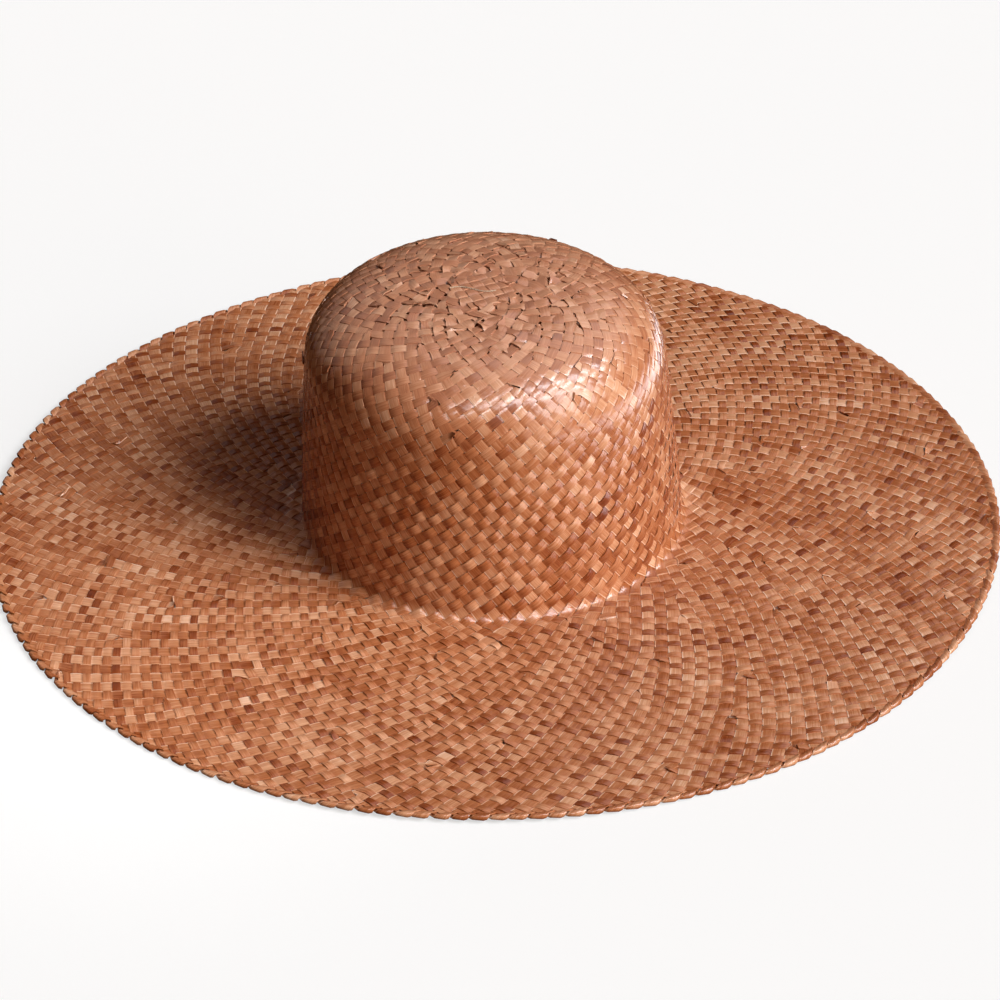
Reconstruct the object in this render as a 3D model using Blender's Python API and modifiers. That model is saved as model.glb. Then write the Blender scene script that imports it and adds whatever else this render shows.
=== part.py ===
"""Straw sun hat: a plaited palm-leaf crown and brim, its turned-back rim and a ribbon sweatband.

Metres, +Z up. The hat stands on its rim at z = 0, the brim is centred on the origin, and the
crown's long axis runs front to back along Y, with the wearer's face towards -Y.
"""
import math

import bmesh
import bpy
from mathutils import Matrix

TAU = 2 * math.pi

# The head that the hat fits, and the layers between it and the crown's outer face
HEAD_CIRCUMFERENCE = 0.574
BAND_THICK = 0.0010
BAND_CLEAR = 0.0004
STRAW_THICK = 0.0016
GAP = 0.0003

# Crown: a slightly tapering side with a rounded tip, oval in plan, measured from its foot
FOOT_FLARE = 0.0012
FOOT_RADIUS = HEAD_CIRCUMFERENCE / TAU + BAND_THICK + BAND_CLEAR + STRAW_THICK + FOOT_FLARE
SHOULDER_RADIUS = 0.0896
SHOULDER_HEIGHT = 0.0811
CROWN_HEIGHT = 0.1228
TIP_FLATNESS = 3.23
SHOULDER_FULLNESS = 2.57
CROWN_OVAL = 0.052
CROWN_LEAN = -0.0031
CROWN_SHIFT_X = -0.0012
CROWN_SHIFT_Y = -0.0004
FOOT_FILLET = 0.0030
FOOT_LIP = 0.0020

# Brim: nearly flat, falling a little from the crown's foot to a gently waved rim
RIM_RADIUS = 0.2475
RIM_OVAL = 0.0096
RIM_THICK = 0.0028
BRIM_FALL = 0.0023
FALL_POWER = 1.6
MID_SWELL = 0.0016
MID_SWELL_TURN = math.radians(70)
TWO_WAVE = 0.00065
TWO_WAVE_TURN = math.radians(61)
FOUR_WAVE = 0.00115
FOUR_WAVE_TURN = math.radians(33)
REST_LEVEL = -0.00068
BRIM_INNER = FOOT_RADIUS + FOOT_FILLET + FOOT_LIP + GAP
FOOT_TOP = BRIM_FALL + RIM_THICK - REST_LEVEL

# Turned-back edge: strip ends folded round the rim and tucked under the brim
FOLD_WIDTH = 0.012
FOLD_THICK = RIM_THICK - STRAW_THICK - GAP
FOLD_ROUND = 0.00035

# Sweatband, its stitching and the tab over its joint
BAND_BOTTOM = 0.001
BAND_TOP = 0.033
BAND_END_GAP = 0.0008
THREAD_RADIUS = 0.0003
STITCH_HEIGHT = 0.0035
TAB_WIDTH = 0.014
TAB_THICK = 0.0008
TAB_BOTTOM = 0.006
TAB_TOP = 0.031
TACK_WIDTH = 0.007
TACK_HEIGHT = 0.027

# The thread that closes the tip of the crown
TIP_THREAD_RADIUS = 0.00035
TIP_THREAD_LENGTH = 0.024
TIP_THREAD_SWAY = 0.003
TIP_THREAD_LIFT = 0.0005

STEPS = 72
DOME_ROWS = 8
SIDE_ROWS = 2
FILLET_ROWS = 3
BRIM_ROWS = 6
MERGE = 0.00001


def clear_scene():
    for thing in list(bpy.data.objects):
        bpy.data.objects.remove(thing, do_unlink=True)


def make_material(name, colour, roughness):
    material = bpy.data.materials.new(name)
    material.use_nodes = True
    shader = material.node_tree.nodes["Principled BSDF"]
    shader.inputs["Base Color"].default_value = (*colour, 1.0)
    shader.inputs["Roughness"].default_value = roughness
    shader.inputs["Metallic"].default_value = 0.0
    return material


def add_empty(name, location, parent=None):
    empty = bpy.data.objects.new(name, None)
    empty.location = location
    empty.parent = parent
    collection.objects.link(empty)
    return empty


def add_object(name, data, parent, material):
    thing = bpy.data.objects.new(name, data)
    thing.parent = parent
    collection.objects.link(thing)
    data.materials.append(material)
    return thing


def add_thickness(thing, thickness):
    solid = thing.modifiers.new("Thickness", "SOLIDIFY")
    solid.thickness = thickness
    solid.offset = -1.0
    solid.use_even_offset = True


def turned_mesh(name, profile, closed=False, sweep=TAU, steps=STEPS, start=0.0):
    """Turn a profile of (radius, height) points about Z, as a mesh of its own."""
    edges = [(i, i + 1) for i in range(len(profile) - 1)]
    if closed:
        edges.append((len(profile) - 1, 0))
    line = bpy.data.meshes.new(name + "_profile")
    line.from_pydata([(radius, 0.0, height) for radius, height in profile], edges, [])
    turner = bpy.data.objects.new(name + "_turner", line)
    collection.objects.link(turner)
    screw = turner.modifiers.new("Turn", "SCREW")
    screw.angle = sweep
    screw.steps = steps
    screw.render_steps = steps
    screw.use_merge_vertices = sweep == TAU
    screw.merge_threshold = MERGE
    bpy.context.view_layer.update()
    evaluated = turner.evaluated_get(bpy.context.evaluated_depsgraph_get())
    mesh = bpy.data.meshes.new_from_object(evaluated)
    mesh.name = name
    bpy.data.objects.remove(turner, do_unlink=True)
    shape = bmesh.new()
    shape.from_mesh(mesh)
    bmesh.ops.remove_doubles(shape, verts=shape.verts, dist=MERGE)
    turn = Matrix.Rotation(start, 3, "Z")
    bmesh.ops.rotate(shape, verts=shape.verts, cent=(0, 0, 0), matrix=turn)
    shape.to_mesh(mesh)
    shape.free()
    return mesh


def reshape(mesh, rule):
    for vertex in mesh.vertices:
        vertex.co = rule(*vertex.co)
    mesh.update()


def smooth(mesh, angle_degrees=40):
    mesh.shade_smooth()
    mesh.set_sharp_from_angle(angle=math.radians(angle_degrees))


def mix(start, end, share):
    return start + (end - start) * share


# ---- The two surfaces that every piece is seated on ----

def dome_height(radius):
    """Height of the crown's outer face over its foot, inside the shoulder's radius."""
    level = 1.0 - (radius / SHOULDER_RADIUS) ** TIP_FLATNESS
    return mix(SHOULDER_HEIGHT, CROWN_HEIGHT, max(level, 0.0) ** (1 / SHOULDER_FULLNESS))


def side_radius(height):
    """Outer radius of the crown's side at a height over its foot."""
    return mix(FOOT_RADIUS, SHOULDER_RADIUS, height / SHOULDER_HEIGHT)


def seat_on_crown(x, y, z):
    """Make a round crown oval and lean it, its foot staying at z = 0."""
    lean = CROWN_LEAN * z / CROWN_HEIGHT
    return (x * (1 - CROWN_OVAL / 2) + lean, y * (1 + CROWN_OVAL / 2), z)


def rim_lift(angle):
    """How far the rim's underside stands clear of the ground, nought where the hat rests."""
    wave = TWO_WAVE * math.cos(2 * angle + TWO_WAVE_TURN)
    wave += FOUR_WAVE * math.cos(4 * angle + FOUR_WAVE_TURN)
    return max(wave - REST_LEVEL, 0.0)


def brim_top(radius, angle):
    """Height of the brim's upper face: it falls from the crown's foot, then is level over the fold."""
    share = (radius - BRIM_INNER) / (RIM_RADIUS - FOLD_WIDTH - BRIM_INNER)
    share = min(max(share, 0.0), 1.0)
    rim_top = rim_lift(angle) + RIM_THICK
    swell = MID_SWELL * math.sin(math.pi * share) * math.cos(2 * angle - MID_SWELL_TURN)
    return mix(FOOT_TOP, rim_top, share ** FALL_POWER) + swell


def seat_on_brim(x, y, z):
    """Take a flat round piece to the brim's oval outline, fall and waves."""
    angle = math.atan2(y, x)
    radius = math.hypot(x, y)
    share = (radius - BRIM_INNER) / (RIM_RADIUS - BRIM_INNER)
    oval = mix(CROWN_OVAL, RIM_OVAL, share)
    shift_x = mix(CROWN_SHIFT_X, 0.0, share)
    shift_y = mix(CROWN_SHIFT_Y, 0.0, share)
    height = brim_top(radius, angle) + z
    return (x * (1 - oval / 2) + shift_x, y * (1 + oval / 2) + shift_y, height)


# ---- Crown ----

def crown_profile():
    """Outer face from the tip's centre down the side, round the foot and out along the lip."""
    points = []
    for row in range(DOME_ROWS):
        turn = math.pi / 2 * (1 - row / DOME_ROWS)
        radius = SHOULDER_RADIUS * math.cos(turn) ** (2 / TIP_FLATNESS)
        points.append((radius if row else 0.0, dome_height(radius) if row else CROWN_HEIGHT))
    for row in range(SIDE_ROWS):
        height = mix(SHOULDER_HEIGHT, FOOT_FILLET, row / SIDE_ROWS)
        points.append((side_radius(height), height))
    for row in range(FILLET_ROWS + 1):
        turn = math.pi + math.pi / 2 * row / FILLET_ROWS
        out = FOOT_RADIUS + FOOT_FILLET + FOOT_FILLET * math.cos(turn)
        points.append((out, FOOT_FILLET + FOOT_FILLET * math.sin(turn)))
    points.append((FOOT_RADIUS + FOOT_FILLET + FOOT_LIP, 0.0))
    return points


def make_crown(parent, material):
    mesh = turned_mesh("crown", crown_profile())
    reshape(mesh, seat_on_crown)
    smooth(mesh)
    crown = add_object("crown", mesh, parent, material)
    add_thickness(crown, STRAW_THICK)


def make_tip_thread(parent, material):
    """A short end of thread that lies in a slack S across the tip."""
    count = 13
    points = []
    for i in range(count):
        share = i / (count - 1)
        x = TIP_THREAD_LENGTH * (share - 0.5)
        y = TIP_THREAD_SWAY * math.sin(TAU * share)
        z = dome_height(math.hypot(x, y)) + TIP_THREAD_RADIUS + TIP_THREAD_LIFT
        points.append(seat_on_crown(x, y, z))
    make_thread("tip_thread", points, TIP_THREAD_RADIUS, False, parent, material)


# ---- Brim ----

def make_brim(parent, material):
    fold_start = RIM_RADIUS - FOLD_WIDTH
    rows = range(BRIM_ROWS + 1)
    profile = [(mix(BRIM_INNER, fold_start, row / BRIM_ROWS), 0.0) for row in rows]
    profile.append((RIM_RADIUS - FOLD_THICK - GAP, 0.0))
    mesh = turned_mesh("brim", profile)
    reshape(mesh, seat_on_brim)
    smooth(mesh)
    brim = add_object("brim", mesh, parent, material)
    add_thickness(brim, STRAW_THICK)


def make_brim_edge_fold(parent, material):
    """The edge wraps the brim's outer end and lies flat under it; its underside is the rest."""
    wall = RIM_RADIUS - FOLD_THICK
    corner = 0.3 * FOLD_ROUND
    profile = [
        (wall, 0.0),
        (RIM_RADIUS - FOLD_ROUND, 0.0),
        (RIM_RADIUS - corner, -corner),
        (RIM_RADIUS, -FOLD_ROUND),
        (RIM_RADIUS, FOLD_ROUND - RIM_THICK),
        (RIM_RADIUS - corner, corner - RIM_THICK),
        (RIM_RADIUS - FOLD_ROUND, -RIM_THICK),
        (RIM_RADIUS - FOLD_WIDTH, -RIM_THICK),
        (RIM_RADIUS - FOLD_WIDTH, FOLD_THICK - RIM_THICK),
        (wall, FOLD_THICK - RIM_THICK),
    ]
    mesh = turned_mesh("brim_edge_fold", profile, closed=True)
    reshape(mesh, seat_on_brim)
    smooth(mesh)
    add_object("brim_edge_fold", mesh, parent, material)


# ---- Sweatband ----

def band_outer(height):
    return side_radius(height) - STRAW_THICK - BAND_CLEAR


def band_inner(height):
    return band_outer(height) - BAND_THICK


def make_sweatband(parent, material):
    """A ribbon that follows the crown's inside, its two ends meeting at the back."""
    heights = (BAND_TOP, (BAND_TOP + BAND_BOTTOM) / 2, BAND_BOTTOM)
    profile = [(band_outer(height), height) for height in heights]
    opening = BAND_END_GAP / FOOT_RADIUS
    start = math.pi / 2 + opening / 2
    mesh = turned_mesh("sweatband", profile, sweep=TAU - opening, start=start)
    reshape(mesh, seat_on_crown)
    smooth(mesh)
    band = add_object("sweatband", mesh, parent, material)
    add_thickness(band, BAND_THICK)


def make_sweatband_tab(parent, material):
    """A short piece of the same ribbon over the joint at the back."""
    profile = [(band_inner(height) - GAP, height) for height in (TAB_TOP, TAB_BOTTOM)]
    sweep = TAB_WIDTH / FOOT_RADIUS
    start = math.pi / 2 - sweep / 2
    mesh = turned_mesh("sweatband_tab", profile, sweep=sweep, steps=6, start=start)
    reshape(mesh, seat_on_crown)
    smooth(mesh)
    tab = add_object("sweatband_tab", mesh, parent, material)
    add_thickness(tab, TAB_THICK)


def make_thread(name, points, radius, closed, parent, material):
    curve = bpy.data.curves.new(name, "CURVE")
    curve.dimensions = "3D"
    curve.bevel_depth = radius
    curve.bevel_resolution = 2
    curve.use_fill_caps = not closed
    spline = curve.splines.new("POLY")
    spline.points.add(len(points) - 1)
    spline.use_cyclic_u = closed
    for place, point in zip(spline.points, points):
        place.co = (*point, 1.0)
    add_object(name, curve, parent, material)


def arc_points(radius, height, middle, sweep, count):
    """Points along a level arc round the crown's axis, shaped with the crown."""
    points = []
    for i in range(count):
        angle = middle + sweep * (i / (count - 1) - 0.5)
        points.append(seat_on_crown(radius * math.cos(angle), radius * math.sin(angle), height))
    return points


def make_sweatband_stitching(parent, material):
    """The row of stitches near the band's lower edge, as one thread round the inside."""
    radius = band_inner(STITCH_HEIGHT) - THREAD_RADIUS - GAP
    sweep = TAU * (1 - 1 / STEPS)
    points = arc_points(radius, STITCH_HEIGHT, 0.0, sweep, STEPS)
    make_thread("sweatband_stitching", points, THREAD_RADIUS, True, parent, material)


def make_tab_tack(parent, material):
    """The bar tack that holds the tab."""
    radius = band_inner(TACK_HEIGHT) - TAB_THICK - THREAD_RADIUS - 2 * GAP
    points = arc_points(radius, TACK_HEIGHT, math.pi / 2, TACK_WIDTH / radius, 5)
    make_thread("sweatband_tab_tack", points, THREAD_RADIUS, False, parent, material)


def make_hat():
    straw = make_material("lacquered_palm_leaf", (0.45, 0.19, 0.085), 0.38)
    ribbon = make_material("cotton_ribbon", (0.46, 0.30, 0.19), 0.85)
    thread = make_material("cotton_thread", (0.62, 0.46, 0.32), 0.80)
    root = add_empty("straw_sun_hat", (0.0, 0.0, 0.0))
    crown_foot = add_empty("crown_foot", (CROWN_SHIFT_X, CROWN_SHIFT_Y, FOOT_TOP), root)
    make_crown(crown_foot, straw)
    make_tip_thread(crown_foot, thread)
    make_brim(root, straw)
    make_brim_edge_fold(root, straw)
    make_sweatband(crown_foot, ribbon)
    make_sweatband_tab(crown_foot, ribbon)
    make_sweatband_stitching(crown_foot, thread)
    make_tab_tack(crown_foot, thread)


clear_scene()
collection = bpy.data.collections.new("straw_sun_hat")
bpy.context.scene.collection.children.link(collection)
make_hat()
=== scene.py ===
import math

import bpy
import numpy as np
from mathutils import Matrix, Vector


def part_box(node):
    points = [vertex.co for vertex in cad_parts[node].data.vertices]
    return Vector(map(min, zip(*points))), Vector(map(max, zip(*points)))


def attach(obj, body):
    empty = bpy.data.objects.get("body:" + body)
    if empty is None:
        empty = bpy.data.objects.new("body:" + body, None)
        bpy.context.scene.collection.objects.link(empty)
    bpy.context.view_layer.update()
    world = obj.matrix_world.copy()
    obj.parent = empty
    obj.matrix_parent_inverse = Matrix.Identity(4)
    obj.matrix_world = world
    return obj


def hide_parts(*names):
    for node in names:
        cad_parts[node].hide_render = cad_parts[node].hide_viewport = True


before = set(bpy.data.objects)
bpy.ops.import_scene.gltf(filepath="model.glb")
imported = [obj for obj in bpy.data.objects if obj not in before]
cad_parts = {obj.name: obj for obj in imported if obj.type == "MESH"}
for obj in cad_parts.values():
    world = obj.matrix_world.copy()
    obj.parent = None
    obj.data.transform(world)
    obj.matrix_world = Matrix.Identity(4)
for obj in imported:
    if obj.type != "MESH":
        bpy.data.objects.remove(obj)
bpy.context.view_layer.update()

TAU = math.tau

# ---- sizes shared with the CAD, in metres
HEAD_CIRCUMFERENCE = 0.574
BAND_THICK = 0.0010
BAND_CLEAR = 0.0004
STRAW_THICK = 0.0016
GAP = 0.0003
FOOT_FLARE = 0.0012
FOOT_RADIUS = HEAD_CIRCUMFERENCE / TAU + BAND_THICK + BAND_CLEAR + STRAW_THICK + FOOT_FLARE
SHOULDER_RADIUS = 0.0896
SHOULDER_HEIGHT = 0.0811
CROWN_HEIGHT = 0.1228
TIP_FLATNESS = 3.23
SHOULDER_FULLNESS = 2.57
CROWN_OVAL = 0.052
CROWN_LEAN = -0.0031
CROWN_SHIFT_X = -0.0012
CROWN_SHIFT_Y = -0.0004
FOOT_FILLET = 0.0030
FOOT_LIP = 0.0020
BRIM_INNER = FOOT_RADIUS + FOOT_FILLET + FOOT_LIP + GAP
RIM_RADIUS = 0.2475
RIM_OVAL = 0.0096
RIM_THICK = 0.0028
BRIM_FALL = 0.0023
FALL_POWER = 1.6
MID_SWELL = 0.0016
MID_SWELL_TURN = math.radians(70)
TWO_WAVE = 0.00065
TWO_WAVE_TURN = math.radians(61)
FOUR_WAVE = 0.00115
FOUR_WAVE_TURN = math.radians(33)
REST_LEVEL = -0.00068
FOOT_TOP = BRIM_FALL + RIM_THICK - REST_LEVEL
FOLD_WIDTH = 0.012
BAND_BOTTOM = 0.001
BAND_TOP = 0.033
BAND_END_GAP = 0.0008

# ---- the plait
STRIPS_AT_TIP = 5
STRIPS_AT_FOOT = 73
STRIPS_AT_RIM = 180
BRIM_GROWTH = 0.75  # new strips come thickest just outside the foot
GOLDEN_ANGLE = TAU * (1 - 2 / (1 + math.sqrt(5)))
STRIP_THICK = 0.00046
BOW_PLACES = (0.0, 0.080, 0.105, 0.140, 0.195, 0.345)  # distances from the tip
BOW_HEIGHTS = (0.00054, 0.00030, 0.00031, 0.00105, 0.00085, 0.00060)
BOW_DEPTH = 0.00048  # how far a bowed strip dips under the straighter ones
FLAT_OVER = 0.00017  # a straighter strip's rise over the middle layer
FLAT_UNDER = 0.00010  # and its dip under it
NARROW_WIDTH = 0.85  # the right family's share of its pitch: it is the narrower one all over
PILLOW = 0.00012  # a strip's middle above its edges
SEAM = 0.020  # share of a strip's pitch left open at each edge
WIDEST = 1.13  # a strip is never wider than this times its usual width
RING_STEPS = 3001  # points round the hat where the strips are counted
STRAY = 0.35  # no edge strays further than this share of the usual spacing
SETTLE_TIMES = 3  # an edge is moved to its place in so many moves
LEAST_COUNT = 0.35  # each worked out with at least this share of the usual count
FARTHEST_MOVE = 0.0012  # and no longer than this
DOME_GROWTH = 1.15  # the strips get a little closer together away from the tip
PLAIT_START = 0.0105  # from the middle of the tip, along the surface
RIM_TUCK = 0.0022  # the plait stops this far inside the rim
LOOSE_PLAIT = 0.00005  # how far a crossing may tip sideways
LOOSE_TIP = 0.00042  # and how far at the tip
RISE_STRAY = 0.00003  # how unevenly the strips rise and fall
LEAST_WIDTH = 0.95  # the narrowest strip's share of its usual width
WIDTH_LOSS_AT_TIP = 0.28  # a crossing at the tip may be narrower by this share
FAMILY_PAINTED_SHADE = 0.34  # the straighter family is paler than the bowed one: painted light and shade for how the two families catch the light
TIP_PAINTED_SHEEN = 0.15  # and the tip is painted paler than the rest, a painted sheen
END_LIFT = 0.0011  # how far a strip's cut end may stand up where it starts on top
END_REACH = 3.0  # over this many rows of points
LOW_END = 0.2  # the lowest end stands up by this share of that
ROUNDING = 3.0  # how gently a strip bows from crossing to crossing
SAMPLES = (-0.5, -0.33, 0.0, 0.33)  # rows of points to one crossing
ACROSS = np.array((-1.0, -0.62, 0.62, 1.0))  # points over a strip's top, from edge to edge
AROUND = np.concatenate((ACROSS, (1.0, -1.0)))  # and round it, with its two lower edges
LEFT_SLANTS = (112, 178, 104)  # strips passed to a metre outwards, on the tip, the side and the brim
RIGHT_SLANTS = (112, 92, 182)
TIP_TO_SIDE = (0.02, 0.085)  # the slant changes between these distances from the tip
SIDE_TO_BRIM = (-0.008, 0.010)  # and between these distances from the foot
ALIKE_ZONE = (0.02, 0.07)  # the two families, alike at the tip, come to differ over this stretch
BOW_CHANGE = (-0.006, 0.012)  # round the foot, where the other family becomes the bowed one
PALE_ZONE = (0.05, 0.12)  # cut edges and their painted highlight come out to their full paleness over this stretch
TIP_PALE = 0.3  # their paleness before it
TIP_SHEEN_ZONE = (0.070, 0.118)  # the tip's painted sheen ends over this stretch
WEAR_AND_SHEEN_ZONE = (0.050, 0.115)  # and its worn leaf, paler also as a painted sheen, over this one
LOOSE_ZONE = (0.035, 0.070)  # the plait becomes firm over this stretch
NARROW_ZONE = (0.040, 0.068)  # and its strips evenly wide over this one
PLAIT_STREAKS = 7.31  # from strip to strip the streaks are taken this far apart in the noise
START_STRAY = 0.0015  # how far a new strip's start may stray outwards,
ROW_STRAY = 0.085  # how far in rows from the border of two crossings,
TURN_STRAY = 0.12  # and how far round the hat, in radians
FIELD_BATCH = 20000  # points of the count field worked out together
MATCH_STEP = 8  # every so many strips are matched from one row to the next

rng = np.random.default_rng(7)


def mix(a, b, share):
    return a + (b - a) * share


def smooth_step(low, high, value):
    t = np.clip((value - low) / (high - low), 0, 1)
    return t * t * (3 - 2 * t)


# ---- the hat's surface
DOME_STEPS, SIDE_STEPS, FILLET_STEPS, BRIM_STEPS = 1500, 500, 60, 900
NORMAL_STEP = 0.0006  # the surface's normal is taken from points this far away


def dome_height(radius):
    level = 1 - (radius / SHOULDER_RADIUS) ** TIP_FLATNESS
    return mix(SHOULDER_HEIGHT, CROWN_HEIGHT, np.maximum(level, 0) ** (1 / SHOULDER_FULLNESS))


def side_radius(height):
    return mix(FOOT_RADIUS, SHOULDER_RADIUS, height / SHOULDER_HEIGHT)


def rim_lift(angle):
    two = TWO_WAVE * np.cos(2 * angle + TWO_WAVE_TURN)
    four = FOUR_WAVE * np.cos(4 * angle + FOUR_WAVE_TURN)
    return np.maximum(two + four - REST_LEVEL, 0)


def brim_top(radius, angle):
    share = np.clip((radius - BRIM_INNER) / (RIM_RADIUS - FOLD_WIDTH - BRIM_INNER), 0, 1)
    fall = mix(FOOT_TOP, rim_lift(angle) + RIM_THICK, share ** FALL_POWER)
    return fall + MID_SWELL * np.sin(np.pi * share) * np.cos(2 * angle - MID_SWELL_TURN)


def make_profile():
    """Distance from the tip's middle, radius and height over the foot, along the plait's top."""
    dome_radius = SHOULDER_RADIUS * np.sin(np.linspace(0, np.pi / 2, DOME_STEPS))
    side_height = np.linspace(SHOULDER_HEIGHT, FOOT_FILLET, SIDE_STEPS)[1:]
    turn = np.linspace(np.pi, 1.5 * np.pi, FILLET_STEPS)[1:]
    brim_radius = np.linspace(FOOT_RADIUS + FOOT_FILLET, RIM_RADIUS, BRIM_STEPS)[1:]
    radius = np.concatenate((dome_radius, side_radius(side_height),
                             FOOT_RADIUS + FOOT_FILLET * (1 + np.cos(turn)), brim_radius))
    height = np.concatenate((dome_height(dome_radius), side_height,
                             FOOT_FILLET * (1 + np.sin(turn)), np.zeros(len(brim_radius))))
    steps = np.hypot(np.diff(radius), np.diff(height))
    return np.concatenate(([0], np.cumsum(steps))), radius, height


WAY, WAY_RADIUS, WAY_HEIGHT = make_profile()
RIM_WAY = WAY[-1]
FOOT_WAY = RIM_WAY - (RIM_RADIUS - FOOT_RADIUS - FOOT_FILLET)
SHOULDER_WAY = float(np.interp(SHOULDER_RADIUS, WAY_RADIUS, WAY))


def top_point(way, angle):
    """The CAD surface's point at a distance from the tip and an angle round the hat."""
    radius = np.interp(way, WAY, WAY_RADIUS) + np.maximum(way - RIM_WAY, 0)
    height = np.interp(way, WAY, WAY_HEIGHT)
    share = np.clip((radius - BRIM_INNER) / (RIM_RADIUS - BRIM_INNER), 0, 1)
    oval = mix(CROWN_OVAL, RIM_OVAL, share)
    x = radius * np.cos(angle) * (1 - oval / 2) + CROWN_SHIFT_X * (1 - share)
    y = radius * np.sin(angle) * (1 + oval / 2) + CROWN_SHIFT_Y * (1 - share)
    z = np.where(radius > BRIM_INNER, brim_top(radius, angle), FOOT_TOP + height)
    return np.stack((x + CROWN_LEAN * height / CROWN_HEIGHT, y, z), -1)


def on_surface(way, angle, rise):
    """A point a given height over the plait's middle layer, and the surface's normal there."""
    spot = way * np.exp(1j * angle)
    out = np.exp(1j * angle) * NORMAL_STEP
    spots = (spot + out, spot - out, spot + 1j * out, spot - 1j * out)
    outer, inner, after, before = [top_point(np.abs(near), np.angle(near)) for near in spots]
    normal = np.cross(outer - inner, after - before)
    normal /= np.linalg.norm(normal, axis=-1, keepdims=True)
    return top_point(way, angle) + normal * (rise - STRAW_THICK / 2)[..., None], normal


# ---- where the strips run
def strips_round(radius, way):
    """How many strips of one family cross a circle round the hat."""
    dome = STRIPS_AT_FOOT * np.minimum(radius / SHOULDER_RADIUS, 1) ** DOME_GROWTH
    share = np.clip((radius - FOOT_RADIUS - FOOT_FILLET) / (RIM_RADIUS - FOOT_RADIUS - FOOT_FILLET), 0, 1)
    growth = np.where(way > FOOT_WAY - 1e-6, share ** BRIM_GROWTH, 0)
    return dome + (STRIPS_AT_RIM - STRIPS_AT_FOOT) * growth


def slopes(way):
    """How fast each family's count grows outwards, strips per metre: the two families' slants."""
    off_tip = smooth_step(*TIP_TO_SIDE, way)
    on_brim = smooth_step(FOOT_WAY + SIDE_TO_BRIM[0], FOOT_WAY + SIDE_TO_BRIM[1], way)
    families = (LEFT_SLANTS, RIGHT_SLANTS)
    return [mix(mix(tip, side, off_tip), brim, on_brim) for tip, side, brim in families]


def running_sum(values):
    return np.concatenate(([0], np.cumsum((values[1:] + values[:-1]) / 2 * np.diff(WAY))))


LEFT_SLOPE, RIGHT_SLOPE = slopes(WAY)
LEFT_SUM = running_sum(LEFT_SLOPE)
RIGHT_SUM = running_sum(RIGHT_SLOPE)
ROWS_SUM = LEFT_SUM + RIGHT_SUM
SAFE_RADIUS = np.maximum(WAY_RADIUS, 1e-4)
WAY_LOG = running_sum(1 / SAFE_RADIUS)


def lay_new_strips():
    """Where each new strip starts, as log-polar complex numbers: evenly spread, never in line."""
    counts = strips_round(WAY_RADIUS, WAY)
    ranks = np.arange(STRIPS_AT_TIP, STRIPS_AT_RIM)
    ways = np.interp(ranks + 0.5, counts, WAY)
    ways = ways + rng.uniform(-START_STRAY, START_STRAY, len(ranks))
    rows = np.floor(np.interp(ways, WAY, ROWS_SUM)) + 0.5
    rows = rows + rng.choice((-ROW_STRAY, ROW_STRAY), len(ranks))
    ways = np.interp(rows, ROWS_SUM, WAY)
    turns = ranks * GOLDEN_ANGLE + rng.uniform(-TURN_STRAY, TURN_STRAY, len(ranks))
    return np.interp(ways, WAY, WAY_LOG) + 1j * turns


NEW_STRIPS = lay_new_strips()
NEW_POWERS = np.exp(NEW_STRIPS)


def count_field(way, angle):
    """The count of strips round the hat at a point, up to a whole number, with its two slopes."""
    shape = way.shape
    way, angle = way.ravel(), angle.ravel()
    count = np.empty(len(way))
    slope_out = np.empty(len(way))
    slope_round = np.empty(len(way))
    radius = np.interp(way, WAY, SAFE_RADIUS)
    place = np.interp(way, WAY, WAY_LOG) + 1j * angle
    for start in range(0, len(way), FIELD_BATCH):
        part = slice(start, start + FIELD_BATCH)
        apart = 1 - np.exp(-place[part])[:, None] * NEW_POWERS
        total = STRIPS_AT_TIP + (1 / apart).sum(1)
        count[part] = (STRIPS_AT_RIM * angle[part] + np.angle(apart).sum(1)) / TAU
        slope_out[part] = total.imag / TAU / radius[part]
        slope_round[part] = total.real / TAU
    return count.reshape(shape), slope_out.reshape(shape), slope_round.reshape(shape)


def alike(way):
    """1 at the tip, where the two families are alike, and 0 where they differ fully."""
    return 1 - smooth_step(*ALIKE_ZONE, way)


class Family:
    """One of the two sets of strips. A strip keeps one value of count + side * running sum."""

    def __init__(self, name, side, sums, slope):
        self.name = name
        self.side = side
        self.sums = sums
        self.slope = slope

    def phase(self, way, angle):
        """That value at a point, with its slopes outwards and round the hat."""
        count, out, round_ = count_field(way, angle)
        value = count + self.side * np.interp(way, WAY, self.sums)
        return value, out + self.side * np.interp(way, WAY, self.slope), round_

    def bowed(self, way):
        """1 where this family is the narrow one that bows over the other, 0 where it lies flat."""
        on_brim = smooth_step(FOOT_WAY + BOW_CHANGE[0], FOOT_WAY + BOW_CHANGE[1], way)
        share = on_brim if self.side < 0 else 1 - on_brim
        return mix(share, 0.5, alike(way))

    def edge_highlight(self, way):
        """How pale this family's cut edge is, with a painted highlight on its lit side: only where it lies
        flat, and less at the tip.
        """
        return (1 - self.bowed(way)) * mix(TIP_PALE, 1.0, smooth_step(*PALE_ZONE, way))

    def rise(self, way, row):
        """The height of this family's strips over the plait's middle layer at a row."""
        wave = self.side * crossing_rise(row)
        over = mix(FLAT_OVER, np.interp(way, BOW_PLACES, BOW_HEIGHTS), self.bowed(way))
        under = mix(FLAT_UNDER, BOW_DEPTH, self.bowed(way))
        return wave * np.where(wave > 0, over, under)

    def cover(self, way):
        """The share of its pitch that a strip of this family covers."""
        return mix(NARROW_WIDTH if self.side < 0 else 1.0, 1.0, alike(way))

    def settle(self, way, angle, target):
        """Turns points round the hat until each lies on its target value."""
        radius = np.interp(way, WAY, SAFE_RADIUS)
        least = LEAST_COUNT * strips_round(radius, way) / TAU
        for _ in range(SETTLE_TIMES):
            value, _out, round_ = self.phase(way, angle)
            miss = value - target
            miss -= np.round(miss)
            turn = miss / np.maximum(round_, least)
            angle = angle - np.clip(turn, -FARTHEST_MOVE / radius, FARTHEST_MOVE / radius)
        return angle


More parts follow.
